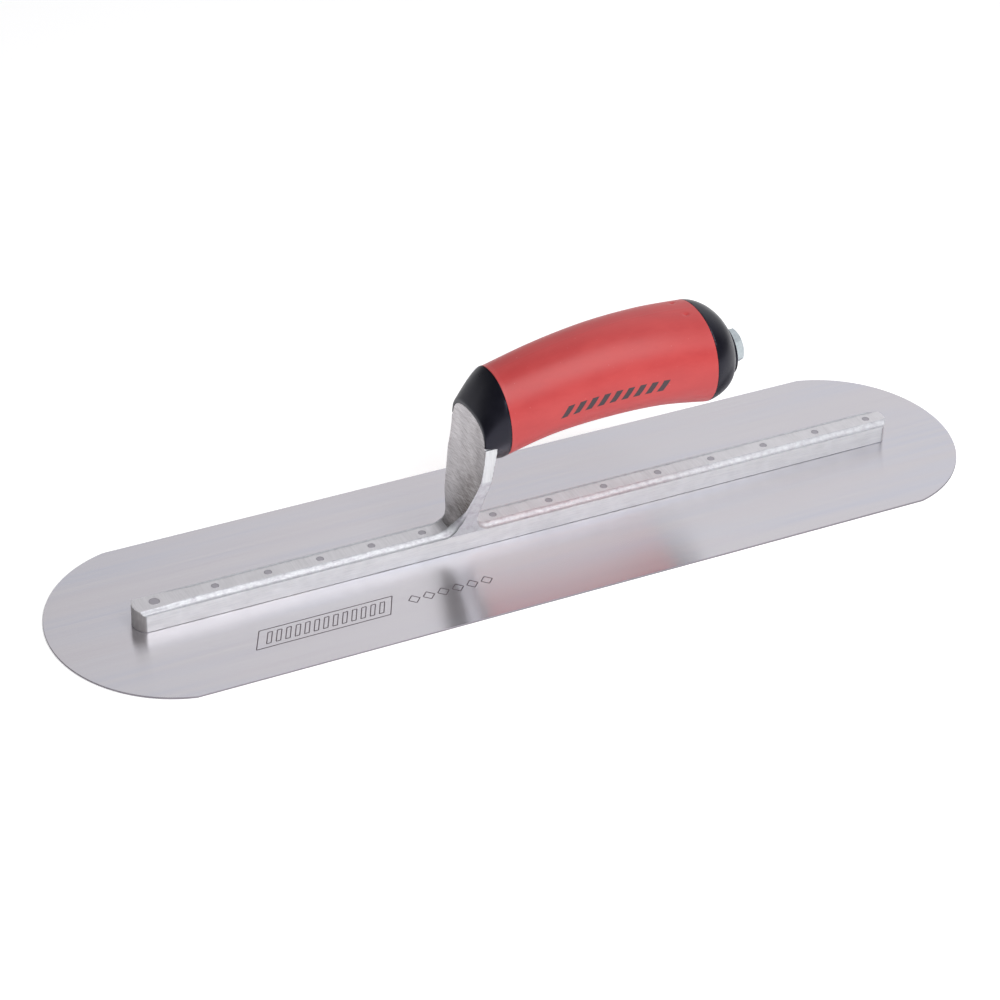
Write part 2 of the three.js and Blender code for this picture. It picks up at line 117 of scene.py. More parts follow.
# ---- Shape of the handle, in mm as in the CAD model ----
GRIP_STATIONS = [-16, 6, 30, 54, 76]
GRIP_CREST_Z = [79.8, 84.8, 88.3, 89.0, 87.5]
GRIP_BELLY_Z = [41.5, 47.3, 49.6, 49.4, 46.0]
GRIP_HALF_WIDTHS = [16.9, 21.8]
SECTION_POWER = 2.12
LEAN_LEVEL_Z = 62
FRONT_SEAM = (-15.7, -0.098)  # x at the lean level, and lean
REAR_SEAM = (74.9, -0.026)
NOSE_FROM_X = -17.2
NOSE_RIM_X = CORE_LOW[0]
NOSE_RIM_TOP_Z = 64.6
NOSE_RIM_BELLY_Z = 44.0
NOSE_RIM_HALF_WIDTH = 15.0
NOSE_RIM_POWER = 2.7
NOSE_CREST_POWER = 1.25
TAIL_END_X = CORE_HIGH[0]
TAIL_END_RADIUS = 12.0
TAIL_ROUND_POWER = 1.6
TAIL_BELLY_POWER = 1.4
GRIP_WALL = 3.2
GRIP_LIP = 0.35  # how far the sleeve's end faces lean inwards
PARTING_HEIGHT = 0.07
PARTING_WIDTH = 0.35
GATE_MARKS = [(67.7, 6.6), (68.1, -3.9)]  # x and y of two tiny moulding marks on the crest side
GATE_DEPTH = 0.9
GATE_WIDTH = 0.8
GRIP_SIDES = 288
GRIP_STEPS = 110
LIP_STEPS = 5
LINING_STEPS = 9
SEAM_ROUND = 0.3  # on the core's edges at the seams
CORE_END_ROUND = 0.35
POCKET_ROUND = 0.12
FIT = 0.15  # what still shows of the gaps between pieces

# ---- Bolt axis ----
AXIS_REAR = np.array([90.6, 0, 64.1])
AXIS_SLOPE = 0.06
AXIS_DIRECTION = np.array([math.cos(AXIS_SLOPE), 0, math.sin(AXIS_SLOPE)])
PLUG_RADIUS = 11.1
PLUG_THICKNESS = 3.2
PLUG_ROUND = 0.45
PLUG_SIDES = 96
BOLT_RADIUS = 4.0
BOLT_LENGTH = 100
HEAD_FLATS = 13
HEAD_HEIGHT = 5.3
HEAD_TURN = math.radians(45)
HEAD_ROUND = 0.15
CORNER_CUT = math.radians(30)  # slope of the cone that cuts the head's corners
CORNER_CUT_SHARE = 0.97  # its radius at the top, of the half width across flats
WASHER_SHARE = 0.96  # the washer face's radius, likewise
WASHER_HEIGHT = 0.5
SPIGOT_RADIUS = 6.5
SPIGOT_LENGTH = 22
SPIGOT_FLOOR = 4

# ---- Plain marks, etched into the blade and printed on the grip ----
MARK_FILM = 0.02  # how far an etched or printed mark stands off the surface
ETCH_LINE = 0.42
ETCH_CENTRE_Y = -28.0
PLATE_X = (-129.0, -72.0)
PLATE_HALF_HEIGHT = 5.4
PLATE_LEAN = 2.8
HATCH_HALF_HEIGHT = 3.2
HATCH_PITCH = 4.0
HATCH_WIDTH = 1.9
LOZENGE_X = (-62.0, -30.0)
LOZENGES = 6
LOZENGE_HALF_SIZE = 2.5
PRINT_DASHES = 9
PRINT_X = (7.0, 54.0)
PRINT_HALF_HEIGHT = 2.2
PRINT_TURN = math.radians(-4)  # the print's middle, round the handle's section from the near side
PRINT_LEAN = 1.5
PRINT_FILL = 0.55  # a dash's share of its pitch
PRINT_ROWS = 5

# ---- Camera ----
CAMERA_AZIMUTH = math.radians(-28.22)
CAMERA_ELEVATION = math.radians(34.42)
CAMERA_ROLL = math.radians(2.59)
CAMERA_DISTANCE = 1236.8
CAMERA_LENS = 108.57
AIM_RIGHT = -8.85  # the aimed-at point, from the origin, along the picture's right and up
AIM_UP = 11.2
SENSOR_WIDTH = 36
CAMERA_REACH = 20  # metres

# ---- Studio, in metres and watts ----
WALL_DIRECTION = (0.62, 0.55, 0.56)  # towards the middle of the studio's pale wall
WALL_EDGE = 0.65  # cosine of the angle at which the wall's light has faded out
WALL_LIGHT = 0.85
ROOM_LIGHT = 0.15
KEY_PLACE = (0.2, -0.62, 1.0)
KEY_SIZE = (0.9, 1.0)
KEY_POWER = 9.8
FILL_PLACE = (-0.05, -1.02, 0.50)
FILL_SIZE = (0.6, 0.5)
FILL_POWER = 1.10
FLOOR_HALF = 8
FLOOR_DROP = 0.05 * MM
FLOOR_GLOW = 0.55


# ==== Small mathematics ====

def bezier(*handles, steps=40):
    """Points along a Bezier curve of any degree, ends included."""
    handles = np.array(handles, float)
    degree = len(handles) - 1
    t = np.linspace(0, 1, steps + 1)[:, None]
    weights = [math.comb(degree, k) * t ** k * (1 - t) ** (degree - k) for k in range(degree + 1)]
    return [tuple(p) for p in sum(w * h for w, h in zip(weights, handles))]


def outline_distance(outline):
    """A function (u, v) that gives the signed distance to a closed outline, negative inside."""
    def distance(u, v):
        u, v = np.broadcast_arrays(u, v)
        nearest = np.full(u.shape, np.inf)
        inside = np.zeros(u.shape, bool)
        for (au, av), (bu, bv) in zip(outline, outline[1:] + outline[:1]):
            eu, ev = bu - au, bv - av
            share = np.clip(((u - au) * eu + (v - av) * ev) / (eu * eu + ev * ev), 0, 1)
            nearest = np.minimum(nearest, (u - au - share * eu) ** 2 + (v - av - share * ev) ** 2)
            if ev != 0:
                inside ^= ((av > v) != (bv > v)) & (u < au + eu * (v - av) / ev)
        return np.where(inside, -1, 1) * np.sqrt(nearest)
    return distance


def round_max(a, b, radius):
    """The overlap of two solids, with a convex round of that radius on its edge."""
    rounded = np.hypot(np.maximum(a + radius, 0), np.maximum(b + radius, 0)) - radius
    return np.where((a > -radius) & (b > -radius), rounded, np.maximum(a, b))


def round_min(a, b, radius):
    """The join of two solids, with a concave fillet of that radius."""
    return -round_max(-a, -b, radius)


def smooth_step(low, high, value):
    t = np.clip((value - low) / (high - low), 0, 1)
    return t * t * (3 - 2 * t)


def waves(seed, sizes, count=14):
    """A smooth random function of x, y and z, about -1 to 1, from plane waves of about those sizes."""
    draw = np.random.default_rng(seed)
    directions = draw.normal(size=(count, 3))
    directions /= np.linalg.norm(directions, axis=1)[:, None]
    rates = 2 * math.pi / (np.array(sizes) * draw.uniform(0.7, 1.5, (count, 1))) * directions
    phases = draw.uniform(0, 2 * math.pi, count)

    def value(x, y, z):
        total = sum(np.sin(rx * x + ry * y + rz * z + p) for (rx, ry, rz), p in zip(rates, phases))
        return total / math.sqrt(count)
    return value


# ==== Meshes ====

def contour(field, axes, blocks):
    """Dual contouring of field = 0, negative inside: vertices and quads.

    axes are the grid's lines in x, y and z. The surface has to lie inside the blocks, each a pair of
    corners. Each cell's vertex is where the surface's tangent planes there meet, so edges stay sharp.
    """
    shape = tuple(len(lines) for lines in axes)
    values = np.ones(shape)
    for low, high in blocks:
        spans = tuple(slice(*np.searchsorted(lines, ends)) for lines, ends in zip(axes, zip(low, high)))
        values[spans] = field(*np.ix_(*(lines[span] for lines, span in zip(axes, spans))))
    inside = values < 0

    def place(index):
        return np.stack([lines[i] for lines, i in zip(axes, index.T)], axis=1)

    crossings, cells, faces = [], [], []
    strides = np.array([shape[1] * shape[2], shape[2], 1])
    for axis in range(3):
        step = np.eye(3, dtype=int)[axis]
        here = inside.take(range(shape[axis] - 1), axis)
        there = inside.take(range(1, shape[axis]), axis)
        start = np.argwhere(here != there)
        low, high = place(start), place(start + step)
        low_inside = inside[tuple(start.T)]
        low_value, high_value = values[tuple(start.T)], values[tuple((start + step).T)]
        for _ in range(3):  # closes in on the crossing
            share = np.clip(low_value / (low_value - high_value), 0.1, 0.9)[:, None]
            middle = low + share * (high - low)
            value = field(*middle.T)
            same = (value < 0) == low_inside
            low[same], low_value[same] = middle[same], value[same]
            high[~same], high_value[~same] = middle[~same], value[~same]
        share = (low_value / (low_value - high_value))[:, None]
        crossings.append(low + share * (high - low))
        u, v = np.eye(3, dtype=int)[(axis + 1) % 3], np.eye(3, dtype=int)[(axis + 2) % 3]
        around = np.stack([start, start - u, start - u - v, start - v], axis=1) @ strides
        cells.append(around.ravel())
        faces.append(np.where(low_inside[:, None], around, around[:, ::-1]))

    points = np.concatenate(crossings)
    cells = np.concatenate(cells)
    nudge = 0.005
    normals = np.stack([
        field(*(points + nudge * unit).T) - field(*(points - nudge * unit).T) for unit in np.eye(3)
    ], axis=1)
    normals /= np.linalg.norm(normals, axis=1)[:, None] + 1e-12
    points, normals = np.repeat(points, 4, axis=0), np.repeat(normals, 4, axis=0)
    used, cell = np.unique(cells, return_inverse=True)

    def cell_sum(weights):
        return np.bincount(cell, weights, len(used))

    count = cell_sum(np.ones(len(cell)))
    mean = np.stack([cell_sum(points[:, k]) / count for k in range(3)], axis=1)
    reach = np.einsum("ij,ij->i", normals, points - mean[cell])
    stiffness = 0.01  # keeps flat cells' vertices at the middle of their crossings
    matrix = np.empty((len(used), 3, 3))
    for i in range(3):
        for j in range(3):
            matrix[:, i, j] = cell_sum(normals[:, i] * normals[:, j]) + (i == j) * stiffness * count
    target = np.stack([cell_sum(normals[:, k] * reach) for k in range(3)], axis=1)
    vertices = mean + np.linalg.solve(matrix, target[:, :, None])[:, :, 0]
    corner = np.stack(np.unravel_index(used, shape), axis=1)
    vertices = np.clip(vertices, place(corner), place(np.minimum(corner + 1, np.array(shape) - 1)))
    return vertices, np.searchsorted(used, np.concatenate(faces))


def graded(start, end, coarse, fine=None, zones=()):
    """Grid lines from start to just past end, closer together in the zones.

    The starts are chosen so that no line lies in a flat face.
    """
    lines = [start]
    while lines[-1] < end:
        at = lines[-1]
        close = any(low - coarse <= at <= high for low, high in zones)
        lines.append(at + (fine if close else coarse))
    return np.array(lines)


def add_object(name, data):
    made = bpy.data.objects.new(name, data)
    bpy.context.scene.collection.objects.link(made)
    return made


def add_smooth(mesh, sharp_angle):
    """An object of the mesh, smooth apart from its sharp edges."""
    mesh.polygons.foreach_set("use_smooth", [True] * len(mesh.polygons))
    mesh.set_sharp_from_angle(angle=math.radians(sharp_angle))
    mesh.update()
    return add_object(mesh.name, mesh)


def make_object(name, shape, sharp_angle=40):
    """A smooth mesh object in metres from vertices in millimetres and faces."""
    vertices, faces = shape
    mesh = bpy.data.meshes.new(name)
    faces = faces.tolist() if isinstance(faces, np.ndarray) else faces
    mesh.from_pydata((np.asarray(vertices, float) * MM).tolist(), [], faces)
    return add_smooth(mesh, sharp_angle)


def ring_faces(rings, sides, closed_rings):
    """Quads between rings of points. closed_rings joins the last ring to the first."""
    faces = []
    for r in range(rings if closed_rings else rings - 1):
        a, b = r * sides, ((r + 1) % rings) * sides
        for s in range(sides):
            t = (s + 1) % sides
            faces.append((a + s, a + t, b + t, b + s))
    return faces


def turned(profile, sides):
    """Vertices and faces of a closed solid of revolution about Z, from [radius, height] pairs.

    A profile that starts and ends at radius 0 is closed on the axis, any other closes on itself.
    """
    solid = profile[0][0] == 0
    rings = profile[1:-1] if solid else profile
    turn = np.arange(sides) * 2 * math.pi / sides
    vertices = [(r * math.cos(a), r * math.sin(a), z) for r, z in rings for a in turn]
    faces = ring_faces(len(rings), sides, not solid)
    if solid:
        bottom, top = len(vertices), len(vertices) + 1
        vertices += [(0, 0, profile[0][1]), (0, 0, profile[-1][1])]
        last = (len(rings) - 1) * sides
        for s in range(sides):
            t = (s + 1) % sides
            faces.append((bottom, t, s))
            faces.append((top, last + s, last + t))
    return np.array(vertices), faces


def rounded_profile(corners, radius, steps=4):
    """A profile whose inner corners are rounded off, for turned()."""
    points = [corners[0]]
    for before, at, after in zip(corners, corners[1:], corners[2:]):
        before, at, after = np.array(before), np.array(at), np.array(after)
        back = (before - at) / np.linalg.norm(before - at)
        on = (after - at) / np.linalg.norm(after - at)
        points += bezier(at + back * radius, at, at + on * radius, steps=steps)
    return points + [corners[-1]]


def onto_axis(shape):
    """Turns a shape modelled about +Z onto the bolt's axis, from the plug's outer face."""
    vertices, faces = shape
    turn = np.array(Matrix.Rotation(math.pi / 2 - AXIS_SLOPE, 3, "Y"))
    return vertices @ turn.T + AXIS_REAR, faces


def finish_piece(piece, nodes, materials):
    """Declares a piece to the frame and gives it its materials."""
    for material in materials:
        piece.data.materials.append(material)
    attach(piece, "root")
    if nodes:
        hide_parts(*nodes)


# ==== Materials ====

class Nodes:
    """The node tree of a material or world, with short calls for what both use."""

    def __init__(self, owner):
        owner.use_nodes = True
        self.tree = owner.node_tree

    def node(self, kind, **settings):
        made = self.tree.nodes.new(kind)
        for key, value in settings.items():
            setattr(made, key, value)
        return made

    def link(self, output, target):
        self.tree.links.new(output, target)

    def remap(self, value, from_range, to_range=(0, 1)):
        made = self.node("ShaderNodeMapRange")
        made.inputs["From Min"].default_value, made.inputs["From Max"].default_value = from_range
        made.inputs["To Min"].default_value, made.inputs["To Max"].default_value = to_range
        self.link(value, made.inputs["Value"])
        return made.outputs["Result"]


class Shader(Nodes):
    """A metal's or plastic's material, with short calls for the nodes that these materials use."""

    def __init__(self, name, **constants):
        self.material = bpy.data.materials.new(name)
        super().__init__(self.material)
        self.surface = self.tree.nodes["Principled BSDF"]
        for socket, value in constants.items():
            self.surface.inputs[socket.replace("_", " ")].default_value = value

    def place(self, scale, turn=(0, 0, 0)):
        """Object coordinates in millimetres, turned and then divided by the given sizes."""
        source = self.node("ShaderNodeTexCoord").outputs["Object"]
        turned_by = self.node("ShaderNodeMapping", vector_type="POINT")
        turned_by.inputs["Rotation"].default_value = turn
        self.link(source, turned_by.inputs["Vector"])
        sized = self.node("ShaderNodeMapping", vector_type="POINT")
        sized.inputs["Scale"].default_value = [1 / (MM * s) for s in scale]
        self.link(turned_by.outputs["Vector"], sized.inputs["Vector"])
        return sized.outputs["Vector"]

    def noise(self, scale, turn=(0, 0, 0), detail=3, roughness=0.55):
        """Noise whose features have about these sizes in millimetres along the turned axes."""
        made = self.node("ShaderNodeTexNoise")
        made.inputs["Scale"].default_value = 1
        made.inputs["Detail"].default_value = detail
        made.inputs["Roughness"].default_value = roughness
        self.link(self.place(scale, turn), made.inputs["Vector"])
        return made.outputs["Fac"]

    def math(self, operation, a, b):
        made = self.node("ShaderNodeMath", operation=operation)
        for socket, value in zip(made.inputs, (a, b)):
            if isinstance(value, (int, float)):
                socket.default_value = value
            else:
                self.link(value, socket)
        return made.outputs["Value"]

    def mix(self, share, a, b):
        """A colour between two colours, each a constant or a socket."""
        made = self.node("ShaderNodeMix", data_type="RGBA")
        self.link(share, made.inputs["Factor"])
        for socket, value in zip(made.inputs[6:8], (a, b)):  # the node's two colour sockets
            if isinstance(value, tuple):
                socket.default_value = (*value, 1)
            else:
                self.link(value, socket)
        return made.outputs[2]

    def bump(self, height, distance):
        """A bump of so many millimetres."""
        made = self.node("ShaderNodeBump")
        made.inputs["Distance"].default_value = distance * MM
        made.inputs["Strength"].default_value = 1
        self.link(height, made.inputs["Height"])
        return made.outputs["Normal"]

    def connect(self, **sockets):
        for name, value in sockets.items():
            self.link(value, self.surface.inputs[name.replace("_", " ")])
        return self.material

    def finish(self, colour, uneven, roughness, height, depth):
        """The material with a roughness that varies between two values, and a bump."""
        roughness = self.remap(uneven, (0.3, 0.7), roughness)
        return self.connect(Base_Color=colour, Roughness=roughness, Normal=self.bump(height, depth))


def blade_steel():
    """Satin steel, ground lengthwise, bluish in soft clouds, with a few pale and dark specks."""
    s = Shader("blade_steel", Metallic=1.0, Anisotropic=0.9)
    grain = s.noise((80, 0.35, 80), detail=4, roughness=0.7)
    bands = s.noise((300, 3.5, 300), detail=4, roughness=0.6)
    clouds = s.noise((150, 16, 150), detail=2)
    specks = s.noise((0.8, 0.6, 0.8), detail=1)
    base = s.mix(s.remap(clouds, (0.42, 0.62)), (0.640, 0.610, 0.645), (0.600, 0.602, 0.675))
    streaked = s.mix(s.remap(bands, (0.35, 0.65), (0, 0.8)), base, (0.675, 0.652, 0.680))
    brushed = s.mix(s.remap(grain, (0.3, 0.7), (0, 0.45)), streaked, (0.730, 0.712, 0.735))
    colour = s.mix(s.remap(specks, (0.80, 0.86), (0, 0.6)), brushed, (0.40, 0.38, 0.40))
    tangent = s.node("ShaderNodeTangent", direction_type="UV_MAP", uv_map="across")
    s.connect(Tangent=tangent.outputs["Tangent"])
    return s.finish(colour, bands, (0.23, 0.27), grain, 0.0008)


def blade_edge():
    """The sheet's sheared edge, darker and rougher than its faces."""
    s = Shader("blade_edge", Metallic=1.0)
    drag = s.noise((0.5, 0.5, 0.2), detail=3)
    colour = s.mix(drag, (0.22, 0.20, 0.23), (0.36, 0.34, 0.37))
    return s.finish(colour, drag, (0.4, 0.6), drag, 0.02)


def ground_aluminium(name, colour, turn_z, sizes, roughness, depth):
    """Aluminium ground in one direction: long fine scratches, a few deeper than the rest."""
    s = Shader(name, Metallic=1.0)
    fine = s.noise(sizes, (0, 0, turn_z), detail=4, roughness=0.7)
    broad = s.noise([2.5 * size for size in sizes], (0, 0, turn_z), detail=2)
    clouds = s.noise([7] * 3, detail=2)
    dark = tuple(0.82 * c for c in colour)
    base = s.mix(s.remap(clouds, (0.35, 0.65), (0, 0.5)), colour, dark)
    tinted = s.mix(s.remap(fine, (0.35, 0.7), (0, 0.8)), base, tuple(min(1, 1.12 * c) for c in colour))
    height = s.math("ADD", fine, s.math("MULTIPLY", broad, 0.7))
    return s.finish(tinted, broad, (roughness, roughness + 0.12), height, depth)


def ground_leaf():
    """Belt-ground aluminium: crossing scratches about 7 mm long, with painted shade, darker and browner, low
    down on the near side.
    """
    s = Shader("ground_leaf", Metallic=1.0)
    rising = s.noise((1, 6, 0.42), (math.radians(14), 0, 0), detail=3, roughness=0.65)
    falling = s.noise((1, 7, 0.5), (math.radians(-10), 0, 0), detail=3, roughness=0.65)
    scratches = s.math("ADD", rising, falling)
    clouds = s.noise((9, 7, 12), detail=3)
    place = s.node("ShaderNodeSeparateXYZ")
    s.link(s.node("ShaderNodeTexCoord").outputs["Object"], place.inputs["Vector"])
    low = s.remap(place.outputs["Z"], (48 * MM, 22 * MM), (0.2, 1))
    near = s.remap(place.outputs["Y"], (5 * MM, -9 * MM), (0, 1))
    # painted shade: darker brown low down on the near side, where the leaf's surface turns away from the
    # light
    painted_shade = s.math("MULTIPLY", s.math("MULTIPLY", low, near), s.remap(clouds, (0.3, 0.6), (0.6, 1)))
    base = s.mix(painted_shade, (0.53, 0.505, 0.525), (0.155, 0.125, 0.11))
    bright = s.mix(s.remap(scratches, (0.9, 1.3), (0, 0.7)), base, (0.74, 0.72, 0.73))
    colour = s.mix(s.remap(scratches, (0.95, 0.65), (0, 0.6)), bright, (0.25, 0.225, 0.215))
    return s.finish(colour, clouds, (0.42, 0.52), scratches, 0.03)


def cast_aluminium():
    """As-cast aluminium: bright and finely pebbled."""
    s = Shader("cast_aluminium", Metallic=1.0)
    pebbles = s.noise([0.7] * 3, detail=3)
    grime = s.noise([2.2] * 3, detail=4)
    colour = s.mix(s.remap(grime, (0.42, 0.72), (0, 0.7)), (0.74, 0.75, 0.78), (0.56, 0.54, 0.59))
    return s.finish(colour, pebbles, (0.54, 0.70), pebbles, 0.09)


def rivet_metal():
    s = Shader("rivet_metal", Metallic=1.0)
    scratches = s.noise((0.14, 2.5, 2.5), detail=3)
    colour = s.mix(scratches, (0.40, 0.38, 0.42), (0.58, 0.56, 0.60))
    return s.finish(colour, scratches, (0.42, 0.55), scratches, 0.006)


def black_plastic(name="hard_black"):
    """Satin black moulding with a very fine grain."""
    s = Shader(name, Metallic=0.0, IOR=1.43, Specular_Tint=(0.80, 0.79, 1.0, 1))
    grain = s.noise([0.35] * 3, detail=2)
    wear = s.noise([6] * 3, detail=3)
    colour = s.mix(wear, (0.003, 0.003, 0.006), (0.008, 0.008, 0.013))
    return s.finish(colour, wear, (0.27, 0.37), grain, 0.008)


def soft_rubber():
    """Matte red soft moulding: fine grain, faint dust and cloudy handling marks."""
    s = Shader("soft_grip", Metallic=0.0, IOR=1.5, Sheen_Weight=0.15, Sheen_Roughness=0.4)
    grain = s.noise([0.4] * 3, detail=3)
    clouds = s.noise((16, 9, 9), detail=3)
    specks = s.noise([0.9] * 3, detail=1)
    base = s.mix(s.remap(clouds, (0.35, 0.65)), (0.575, 0.050, 0.052), (0.625, 0.062, 0.062))
    colour = s.mix(s.remap(specks, (0.76, 0.84), (0, 0.5)), base, (0.80, 0.35, 0.33))
    return s.finish(colour, clouds, (0.38, 0.46), grain, 0.012)


def zinc_plate():
    s = Shader("zinc_plate", Metallic=1.0)
    spangle = s.noise([1.6] * 3, detail=3)
    fine = s.noise([0.4] * 3, detail=2)
    colour = s.mix(s.remap(spangle, (0.35, 0.65)), (0.55, 0.61, 0.64), (0.66, 0.72, 0.75))
    return s.finish(colour, spangle, (0.36, 0.46), fine, 0.01)


def mark(name, dark, light):
    """The uneven colour of an etched or printed mark."""
    s = Shader(name)
    uneven = s.noise([0.7] * 3, detail=3)
    roughness = s.remap(uneven, (0.3, 0.7), (0.5, 0.65))
    return s.connect(Base_Color=s.mix(uneven, dark, light), Roughness=roughness)


# ==== Blade ====

def rivet_centre(name):
    low, high = box_mm(name)
    return (low[0] + high[0]) / 2


def rivet_radius(name):
    """Radius of the rivet's shank: its box is that of the countersunk head."""
    low, high = box_mm(name)
    return (high[0] - low[0]) / 2 - RIVET_FLARE


def blade_outline(inset):
    """The blade's plan, moved inwards."""
    radius = BLADE_END_RADIUS - inset
    corner = math.asin((BLADE_HIGH[1] - inset) / radius)
    centre = BLADE_HIGH[0] - BLADE_END_RADIUS
    turns = np.linspace(-corner, corner, BLADE_ARC_STEPS + 1)
    rear = [(centre + radius * math.cos(a), radius * math.sin(a)) for a in turns]
    return rear + [(-x, -y) for x, y in rear]


def circle(x, radius):
    turns = np.arange(RIVET_SIDES) * 2 * math.pi / RIVET_SIDES
    return [(x + radius * math.cos(a), radius * math.sin(a)) for a in turns]


def blade_mesh():
    """The sheet with its edge break and countersunk holes. Its two faces are filled round the holes."""
    bm = bmesh.new()

    def loop(outline, z):
        vertices = [bm.verts.new((x * MM, y * MM, z * MM)) for x, y in outline]
        return vertices, [bm.edges.new((a, b)) for a, b in zip(vertices, vertices[1:] + vertices[:1])]

    def wall(lower, upper, inward=False):
        for i in range(len(lower)):
            j = (i + 1) % len(lower)
            quad = (lower[i], lower[j], upper[j], upper[i])
            bm.faces.new(quad[::-1] if inward else quad).material_index = EDGE_MATERIAL

    levels = [(BLADE_EDGE, 0), (0, BLADE_EDGE), (0, THICKNESS - BLADE_EDGE), (BLADE_EDGE, THICKNESS)]
    rims = [loop(blade_outline(inset), z) for inset, z in levels]
    for (lower, _), (upper, _) in zip(rims, rims[1:]):
        wall(lower, upper)
    bottom_edges, top_edges = list(rims[0][1]), list(rims[-1][1])
    for name in RIVETS:
        x, radius = rivet_centre(name), rivet_radius(name) + RIVET_GAP
        lower, lower_edges = loop(circle(x, radius + RIVET_FLARE), 0)
        upper, upper_edges = loop(circle(x, radius), THICKNESS)
        wall(lower, upper, inward=True)
        bottom_edges += lower_edges
        top_edges += upper_edges
    for edges, up in ((bottom_edges, -1), (top_edges, 1)):
        made = bmesh.ops.triangle_fill(bm, use_beauty=True, edges=edges)["geom"]
        for face in made:
            if isinstance(face, bmesh.types.BMFace):
                face.normal_update()
                if face.normal.z * up < 0:
                    face.normal_flip()
    mesh = bpy.data.meshes.new("blade_sheet")
    bm.to_mesh(mesh)
    bm.free()
    across = mesh.uv_layers.new(name="across")
    for corner in mesh.loops:
        co = mesh.vertices[corner.vertex_index].co
        across.data[corner.index].uv = (co.y, -co.x)
    return mesh


def make_blade():
    piece = add_smooth(blade_mesh(), sharp_angle=30)
    finish_piece(piece, ["blade"], [blade_steel(), blade_edge()])


# ==== Rivets ====

def make_rivets():
    material = rivet_metal()
    for name in RIVETS:
        x, radius = rivet_centre(name), rivet_radius(name)
        profile = [(0, 0), (radius + RIVET_FLARE, 0), (radius, THICKNESS),
                   (radius, LAND_Z - RIVET_BREAK), (radius - RIVET_BREAK, LAND_Z), (0, LAND_Z)]
        vertices, faces = turned(profile, RIVET_SIDES)
        piece = make_object(f"{name}_fine", (vertices + (x, 0, 0), faces), sharp_angle=30)
        finish_piece(piece, [name], [material])


# ==== Mounting ====

def side_outline(top, front_foot, rear_foot, front_curve):
    """Side view [x, z] of the spine with the shank, whose feet leave the spine's top in fillets."""
    head_top = HEAD_TOP_Z + 3 * PAST
    return [
        (SPINE_FRONT - PAST, THICKNESS),
        (SPINE_FRONT - PAST, top),
        *front_foot,
        *front_curve,
        (HEAD_FRONT_X, head_top),
        (HEAD_REAR_X, head_top),
        *REAR_CURVE,
        *rear_foot,
        (SPINE_REAR + PAST, top),
        (SPINE_REAR + PAST, THICKNESS),
    ]


REAR_CURVE = bezier((HEAD_REAR_X, LEDGE_REAR_Z), (-21.9, 43), (-25.2, 27), FOOT_REAR)

# The fillets at the feet are Bezier curves, whose middle handle is the corner that they round off.
rib_side = outline_distance(side_outline(
    LAND_Z,
    bezier((-41.5, LAND_Z), (-34.2, LAND_Z), RIB_FOOT_FRONT)[:-1],
    bezier(FOOT_REAR, (-24.2, LAND_Z), (-18.0, LAND_Z))[1:],
    bezier(RIB_FOOT_FRONT, (-29.3, 30), (HEAD_FRONT_X, 42), (HEAD_FRONT_X, LEDGE_FRONT_Z)),
))
base_side = outline_distance(side_outline(
    SIDE_Z,
    bezier((-38.5, SIDE_Z), (-31.9, SIDE_Z), BASE_FOOT_FRONT)[:-1],
    bezier(FOOT_REAR, (-24.3, SIDE_Z), (-18.0, SIDE_Z))[1:],
    bezier(BASE_FOOT_FRONT, (-28.0, 32), (HEAD_FRONT_X, 42), (HEAD_FRONT_X, LEDGE_FRONT_Z)),
))


def head_arch():
    """The head's round top in front view [y, z], from the +Y ledge to the -Y ledge."""
    near = bezier((HEAD_HALF_WIDTH, LEDGE_REAR_Z), (14.2, 60.8), (8, HEAD_TOP_Z), (0, HEAD_TOP_Z), steps=30)
    return near + [(-y, z) for y, z in near[-2::-1]]


def shank_front():
    """Front view [y, z]: narrow at the foot, flaring to the ground shoulders, round at the head."""
    flare = bezier((SPINE_HALF_WIDTH, 12.6), (8.0, 18.6), (13.3, 30.5), (SHANK_HALF_WIDTH, KINK_Z))
    half = [(SPINE_HALF_WIDTH, 0), *flare, (SHANK_HALF_WIDTH, 50.0), (14.9, LEDGE_REAR_Z)]
    return half + head_arch() + [(-y, z) for y, z in half[::-1]]


front_distance = outline_distance(shank_front())
cast_lumps = waves(7, LUMP_SIZES)
RIVET_PLACES = [(rivet_centre(name), rivet_radius(name) + RIVET_GAP) for name in RIVETS]


def along_axis(x, y, z):
    """Distance along the bolt's axis, and from it."""
    offset = [x - AXIS_REAR[0], y, z - AXIS_REAR[2]]
    along = offset[0] * AXIS_DIRECTION[0] + offset[2] * AXIS_DIRECTION[2]
    away = np.hypot(offset[2] * AXIS_DIRECTION[0] - offset[0] * AXIS_DIRECTION[2], y)
    return along, away


def axis_bar(x, y, z, radius, start, end):
    along, away = along_axis(x, y, z)
    return np.maximum(away - radius, np.maximum(start - along, along - end))


SPIGOT_ROOT = (HEAD_REAR_X - AXIS_REAR[0]) / math.cos(AXIS_SLOPE)


